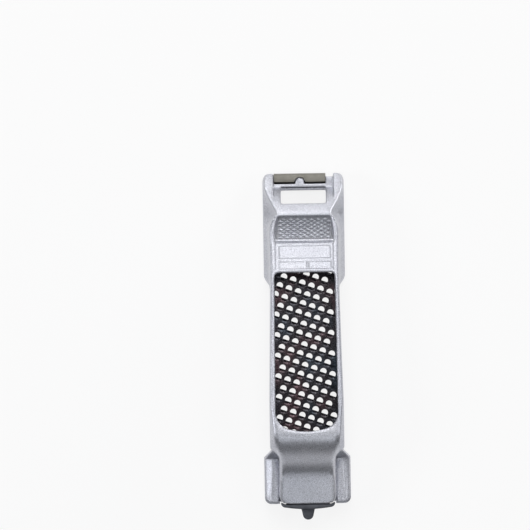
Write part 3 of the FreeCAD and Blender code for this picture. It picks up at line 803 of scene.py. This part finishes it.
def fold(points, lift):
    """Places of the sheet after bending: lift is 0 on the side of the teeth and 1 on the other."""
    x, y = points[:, 0], points[:, 1]
    height = lift * blade_thickness
    z = plate_z + height - scoop_depth(x, y)
    made_x, made_y = x.copy(), y.copy()

    turn = np.clip((np.abs(x) - flange_bend_x) / middle(flange_outer), 0, math.pi / 2)
    past = np.maximum(np.abs(x) - flange_bend_x - middle(flange_outer) * math.pi / 2, 0)
    radius = flange_outer - height
    bent = (turn > 0) & (y < flange_front_y + bend_slack) & (y > flange_rear_y - bend_slack)
    bent_x = np.sign(x) * (flange_bend_x + radius * np.sin(turn))
    made_x = np.where(bent, bent_x, made_x)
    z = np.where(bent, plate_z + flange_outer - radius * np.cos(turn) + past, z)

    turn = np.clip((y - bar_y) / middle(lip_outer), 0, math.pi)
    past = np.maximum(y - lip_turn_end, 0)
    radius = lip_outer - height
    made_y = np.where(turn > 0, bar_y + radius * np.sin(turn) - past, made_y)
    z = np.where(turn > 0, bar_z - radius * np.cos(turn), z)

    turn = np.clip((web_bend_y - y) / middle(web_outer), 0, math.pi / 2)
    past = np.maximum(web_turn_end - y, 0)
    radius = web_outer - height
    made_y = np.where(turn > 0, web_bend_y - radius * np.sin(turn), made_y)
    z = np.where(turn > 0, plate_z + web_outer - radius * np.cos(turn) + past, z)
    return np.column_stack([made_x, made_y, z])


def rounded(corners, steps=4):
    """A closed outline; each corner is X, Y and the radius that rounds it."""
    outline = []
    for index, (x, y, radius) in enumerate(corners):
        here = Vector((x, y))
        before = Vector(corners[index - 1][:2]) - here
        after = Vector(corners[(index + 1) % len(corners)][:2]) - here
        if not radius:
            outline.append(here)
            continue
        before.normalize()
        after.normalize()
        middle_way = (before + after).normalized()
        half_angle = before.angle(after) / 2
        centre = here + middle_way * radius / math.sin(half_angle)
        reach = radius / math.tan(half_angle)
        start = here + before * reach - centre
        end = here + after * reach - centre
        for step in range(steps + 1):
            way = start.slerp(end, step / steps)
            outline.append(centre + way * (radius / way.length))
    return outline


def divided(outline, spacing):
    """The same closed outline with no two points further apart than the spacing."""
    places = []
    for start, end in zip(outline, outline[1:] + outline[:1]):
        count = max(1, math.ceil((end - start).length / spacing))
        places += [start.lerp(end, step / count) for step in range(count)]
    return places


def lip_notch():
    """The half-moon notch in the folded end, from its right end to its left."""
    places = []
    for step in range(notch_steps + 1):
        angle = math.pi * step / notch_steps
        x = lip_notch_x + lip_notch_radius * math.cos(angle)
        y = lip_notch_y + lip_notch_radius * math.sin(angle)
        if y <= lip_fold_y:
            continue
        if y <= bar_y:
            length = lip_turn_end + bar_y - y
        else:
            radius = middle(lip_outer)
            length = lip_turn_end - radius * math.asin((y - bar_y) / radius)
        places.append(Vector((x, length)))
    edge_x = math.sqrt(lip_notch_radius ** 2 - (lip_fold_y - lip_notch_y) ** 2)
    right = Vector((lip_notch_x + edge_x, lip_end))
    left = Vector((lip_notch_x - edge_x, lip_end))
    return [right] + places + [left]


def blade_outline():
    """The outer edge of the flat pattern, from the rear tab counterclockwise."""
    side = plate_half
    reach = flange_reach
    root = flange_bend_x - flange_root
    tab_rear_y = web_bend_y + relief
    right = [
        (web_half, web_end, 0.8), (web_half, tab_rear_y, 0.4), (tab_half, tab_rear_y, 0.4),
        (tab_half, plate_rear_y, 0.6), (side, plate_rear_y, 1.0),
        (side, flange_rear_y - relief, 0.2), (root, flange_rear_y - relief, 0.2),
        (root, flange_rear_y, 0), (reach, flange_rear_y, 1.0),
        (reach, flange_front_y, 1.0), (root, flange_front_y, 0),
        (root, flange_front_y + relief, 0.2), (side, flange_front_y + relief, 0.2),
        (side, plate_front_y, 1.0)]
    left = [(-x, y, radius) for x, y, radius in reversed(right)]
    front_right = [(lip_right, plate_front_y, 0.6), (lip_right, lip_end, 0.4)]
    front_left = [(lip_left, lip_end, 0.4), (lip_left, plate_front_y, 0.6)]
    before = rounded(right + front_right + front_left + left)
    turn = next(index for index, place in enumerate(before)
                if place.x < 0 and abs(place.y - lip_end) < lip_corner_reach)
    return divided(before[:turn] + lip_notch() + before[turn:], edge_spacing)


tooth_height = tooth_crown + tooth_heel
tooth_radius = (tooth_half ** 2 + tooth_height ** 2) / (2 * tooth_height)
tooth_centre = Vector((0, tooth_crown - tooth_radius))


def tooth_outline(tooth):
    """The edge of one tooth's hole: an arc, then the straight edge back to its start."""
    low = math.atan2(-tooth_heel - tooth_centre.y, tooth_half)
    arc = []
    for step in range(tooth_arc_steps + 1):
        angle = low + (math.pi - 2 * low) * step / tooth_arc_steps
        arc.append(beside(tooth, tooth_radius * math.cos(angle),
                          tooth_centre.y + tooth_radius * math.sin(angle)))
    straight = []
    for step in range(1, tooth_edge_steps):
        along = -tooth_half + 2 * tooth_half * step / tooth_edge_steps
        straight.append(beside(tooth, along, -tooth_heel))
    return arc + straight


def nose_hole():
    """The edge of the window in the nose."""
    half, low, high = nose_hole_half, nose_hole_rear_y, nose_hole_front_y
    corners = [(-half, low), (half, low), (half, high), (-half, high)]
    return rounded([(x, y, nose_hole_corner) for x, y in corners])


def in_holes(places):
    """Which of these places of the flat pattern lie in a hole."""
    x, y = places[:, 0], places[:, 1]
    found = (np.abs(x) < nose_hole_half) & (y > nose_hole_rear_y) & (y < nose_hole_front_y)
    for tooth in teeth:
        along, forward = own_places(tooth, x, y)
        near = np.hypot(along, forward - tooth_centre.y) < tooth_radius
        found |= near & (forward > -tooth_heel)
    return found


def bend_rows():
    """Loose points along every bend, so that it comes out round."""
    rows = []
    steps, count = flange_bend
    for way in (-1, 1):
        for step in range(steps + 1):
            x = way * (flange_bend_x + middle(flange_outer) * math.pi / 2 * step / steps)
            for place in range(1, count):
                y = flange_rear_y + (flange_front_y - flange_rear_y) * place / count
                rows.append(Vector((x, y)))
    steps, count = lip_bend
    for step in range(steps + 1):
        y = bar_y + middle(lip_outer) * math.pi * step / steps
        for place in range(1, count):
            rows.append(Vector((lip_left + (lip_right - lip_left) * place / count, y)))
    steps, count = web_bend
    for step in range(steps + 1):
        y = web_bend_y - middle(web_outer) * math.pi / 2 * step / steps
        for place in range(1, count):
            rows.append(Vector((-web_half + 2 * web_half * place / count, y)))
    return rows


def scoop_rows():
    """Loose points in every tooth's scoop, so that it comes out hollow."""
    rows = []
    for tooth in teeth:
        for back in scoop_backs:
            for step in range(2 * scoop_steps + 1):
                across = tooth_half * (step - scoop_steps) / scoop_steps
                rows.append(beside(tooth, across, -tooth_heel - back))
    return rows


def near_hole(place):
    """Whether a loose point would lie in a tooth's hole or too close to its edge."""
    for tooth in teeth:
        along, forward = own_places(tooth, place.x, place.y)
        beyond = -tooth_heel - hole_margin < forward < tooth_crown + hole_margin
        if beyond and abs(along) < tooth_half + hole_margin:
            return True
    return False


def make_blade():
    """The blade: a flat sheet with all its holes, triangulated, pressed into scoops and folded."""
    loops = [blade_outline(), nose_hole()] + [tooth_outline(tooth) for tooth in teeth]
    places, edges = [], []
    for loop in loops:
        first = len(places)
        places += loop
        for index in range(len(loop)):
            edges.append((first + index, first + (index + 1) % len(loop)))
    places += bend_rows()
    places += [place for place in scoop_rows() if not near_hole(place)]
    flat, _, faces, _, _, _ = delaunay_2d_cdt(places, edges, [], 1, merge_distance, False)
    flat = np.array([(place.x, place.y) for place in flat])
    count = len(flat)
    centres = flat[np.array(faces)].mean(axis=1)
    following = loops[0][1:] + loops[0][:1]
    outline = [(tuple(start), tuple(end)) for start, end in zip(loops[0], following)]
    kept = in_outline(centres, outline) & ~in_holes(centres)
    faces = [face for face, stays in zip(faces, kept) if stays]
    sides = {}
    for face in faces:
        for start, end in zip(face, face[1:] + face[:1]):
            sides[(start, end)] = True
    walls = [(end, start, start + count, end + count)
             for start, end in sides if (end, start) not in sides]
    lower = [tuple(reversed(face)) for face in faces]
    upper = [tuple(index + count for index in face) for face in faces]
    points = np.vstack([fold(flat, 0), fold(flat, 1)])
    piece = mesh_piece("perforated_blade", points * MM, lower + upper + walls)
    mesh = piece.data
    mesh.set_sharp_from_angle(angle=math.radians(sharp_angle))
    mesh.materials.append(black)
    mesh.materials.append(lip_steel)
    length = np.concatenate([flat[:, 1], flat[:, 1]])
    for polygon in mesh.polygons:
        polygon.material_index = int(min(length[list(polygon.vertices)]) > bar_y)
    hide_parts("rasp_blade")
    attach(piece, "blade")


make_blade()

# Lever

lever_voxel = 0.2
lever_band = 6
lever_soft_radius = 0.25
lever_adaptivity = 0.01


def make_lever():
    """The lever with softened edges."""
    field, low = level_set("tension_lever", lever_voxel, lever_band)
    field = soften(field, lever_soft_radius / lever_voxel)
    points, faces = volume_polygons(field, low, lever_voxel, lever_adaptivity)
    piece = mesh_piece("release_lever", points * MM, faces)
    piece.data.materials.append(charcoal)
    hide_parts("tension_lever")
    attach(piece, "lever")


make_lever()

# Pin and cross bar

bar_end = 0.45
bar_end_share = 0.3
bar_end_steps = 4
bar_sides = 48
double_distance = 0.001


def make_round_bar(name, node, body):
    """A bar along X in the place of a CAD node, with rounded ends."""
    low, high = node_box(node)
    radius = (high.z - low.z) / 2
    ends = min(bar_end, radius * bar_end_share)
    profile = [(low.x, 0.0)]
    for step in range(bar_end_steps + 1):
        angle = math.pi / 2 * step / bar_end_steps
        x = low.x + ends * (1 - math.sin(angle))
        profile.append((x, radius - ends * (1 - math.cos(angle))))
    profile = [profile[0]] + sorted(profile[1:])
    middle_x = (low.x + high.x) / 2
    profile += [(2 * middle_x - x, reach) for x, reach in reversed(profile)]
    points, faces = [], []
    for x, reach in profile:
        for step in range(bar_sides):
            angle = 2 * math.pi * step / bar_sides
            points.append((x, (low.y + high.y) / 2 + reach * math.cos(angle),
                           (low.z + high.z) / 2 + reach * math.sin(angle)))
    for ring in range(len(profile) - 1):
        here, beyond = ring * bar_sides, (ring + 1) * bar_sides
        for step in range(bar_sides):
            after = (step + 1) % bar_sides
            faces.append((here + step, here + after, beyond + after, beyond + step))
    piece = mesh_piece(name, np.array(points) * MM, faces)
    tidy = bmesh.new()
    tidy.from_mesh(piece.data)
    bmesh.ops.remove_doubles(tidy, verts=tidy.verts, dist=double_distance * MM)
    bmesh.ops.recalc_face_normals(tidy, faces=tidy.faces)
    tidy.to_mesh(piece.data)
    tidy.free()
    piece.data.set_sharp_from_angle(angle=math.radians(sharp_angle))
    piece.data.materials.append(turned)
    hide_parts(node)
    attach(piece, body)


make_round_bar("turned_pin", "lever_pin", "body")
make_round_bar("turned_cross_bar", "tension_bar", "lever")

# Floor, light and camera

# The floor's tones are seen straight or in a mirror, and its bounce is what lights the object.
# The size is half a side, in metres
floor_size = 3.0
floor_tone = 0.9
floor_bounce = 0.52
floor_glow = 1.0
floor_glow_share = 0.84


def larger(nodes, links, first, second):
    """The larger of two values."""
    node = nodes.new("ShaderNodeMath")
    node.operation = "MAXIMUM"
    links.new(first, node.inputs[0])
    links.new(second, node.inputs[1])
    return node.outputs[0]


def mixed(nodes, links, share, first, second):
    """A mix of two shaders, with the second one's share given as a number or a link."""
    node = nodes.new("ShaderNodeMixShader")
    if isinstance(share, float):
        node.inputs["Fac"].default_value = share
    else:
        links.new(share, node.inputs["Fac"])
    links.new(first, node.inputs[1])
    links.new(second, node.inputs[2])
    return node.outputs[0]


def make_floor():
    """A pale floor that keeps the object's shadow and can be seen through from below."""
    piece = mesh_piece("floor", np.array([
        (-floor_size, -floor_size, 0), (floor_size, -floor_size, 0),
        (floor_size, floor_size, 0), (-floor_size, floor_size, 0)]), [(0, 1, 2, 3)])
    material = bpy.data.materials.new("pale_floor")
    material.use_nodes = True
    nodes, links = material.node_tree.nodes, material.node_tree.links
    nodes.clear()
    output = nodes.new("ShaderNodeOutputMaterial")
    tone = nodes.new("ShaderNodeBsdfDiffuse")
    tone.inputs["Color"].default_value = (floor_tone, floor_tone, floor_tone, 1)
    bounce = nodes.new("ShaderNodeBsdfDiffuse")
    bounce.inputs["Color"].default_value = (floor_bounce, floor_bounce, floor_bounce, 1)
    glow = nodes.new("ShaderNodeEmission")
    glow.inputs["Strength"].default_value = floor_glow
    clear = nodes.new("ShaderNodeBsdfTransparent")
    path = nodes.new("ShaderNodeLightPath").outputs
    indirect = larger(nodes, links, path["Is Glossy Ray"], path["Is Transmission Ray"])
    watched = larger(nodes, links, path["Is Camera Ray"], indirect)
    seen = mixed(nodes, links, floor_glow_share, tone.outputs[0], glow.outputs[0])
    top = mixed(nodes, links, watched, bounce.outputs[0], seen)
    side = nodes.new("ShaderNodeNewGeometry").outputs
    whole = mixed(nodes, links, side["Backfacing"], top, clear.outputs[0])
    links.new(whole, output.inputs["Surface"])
    piece.data.materials.append(material)


# Lamps, with the distance and the size in metres
light_distance = 1.2
light_size = (0.5, 0.4)
white = (1.0, 1.0, 1.0)
cool = (0.97, 0.98, 1.0)
cold = (0.94, 0.97, 1.0)
warm = (1.0, 0.99, 0.97)
lamps = [
    ("toe_light", 90, 74, 2.7, white),
    ("middle_toe_light", 90, 50, 2.1, white),
    ("low_toe_light", 100, 16, 3.4, white),
    ("left_light", 180, 38, 3.6, cool),
    ("right_light", 0, 50, 2.1, cool),
    ("low_right_light", 45, 10, 5.4, warm),
    ("middle_heel_light", 270, 52, 0.3, cold),
    ("heel_light", 270, 67, 1.15, cold)]


def softbox(name, around, height, power, colour):
    """A lamp at an angle round the object, from +X towards +Y, and an angle above the floor."""
    light = bpy.data.lights.new(name, "AREA")
    light.shape = "RECTANGLE"
    light.size, light.size_y = light_size
    light.energy = power
    light.color = colour
    lamp = bpy.data.objects.new(name, light)
    around, height = math.radians(around), math.radians(height)
    level = math.cos(height)
    way = Vector((math.cos(around) * level, math.sin(around) * level, math.sin(height)))
    lamp.location = way * light_distance
    lamp.rotation_euler = way.to_track_quat("Z", "Y").to_euler()
    bpy.context.scene.collection.objects.link(lamp)


world_colour = (0.95, 0.97, 1.0, 1)
world_strength = 0.08


def make_world():
    """A faint fill light from all round."""
    world = bpy.data.worlds.new("studio")
    world.use_nodes = True
    back = world.node_tree.nodes["Background"]
    back.inputs["Color"].default_value = world_colour
    back.inputs["Strength"].default_value = world_strength
    bpy.context.scene.world = world


# The camera looks straight down. The picture's width is in pixels, clipping distances in metres
picture_width = 530
pixel_size = 0.4467
sensor_width = 36.0
nearest = 0.1
farthest = 20.0
camera_height = 6000.0
camera_level = 20.0
camera_roll = -0.9
camera_x = -17.6
camera_y = 36.7


def make_camera():
    """A camera so far away that it shows next to no perspective, as in the photograph."""
    camera = bpy.data.cameras.new("camera")
    camera.sensor_width = sensor_width
    camera.lens = camera.sensor_width * camera_height / (picture_width * pixel_size)
    camera.clip_start = nearest
    camera.clip_end = farthest
    holder = bpy.data.objects.new("camera", camera)
    holder.location = Vector((camera_x, camera_y, camera_level + camera_height)) * MM
    holder.rotation_euler = (0, 0, math.radians(camera_roll))
    bpy.context.scene.collection.objects.link(holder)
    bpy.context.scene.camera = holder


make_floor()
for lamp in lamps:
    softbox(*lamp)
make_world()
make_camera()
bpy.context.scene.view_settings.view_transform = "Standard"
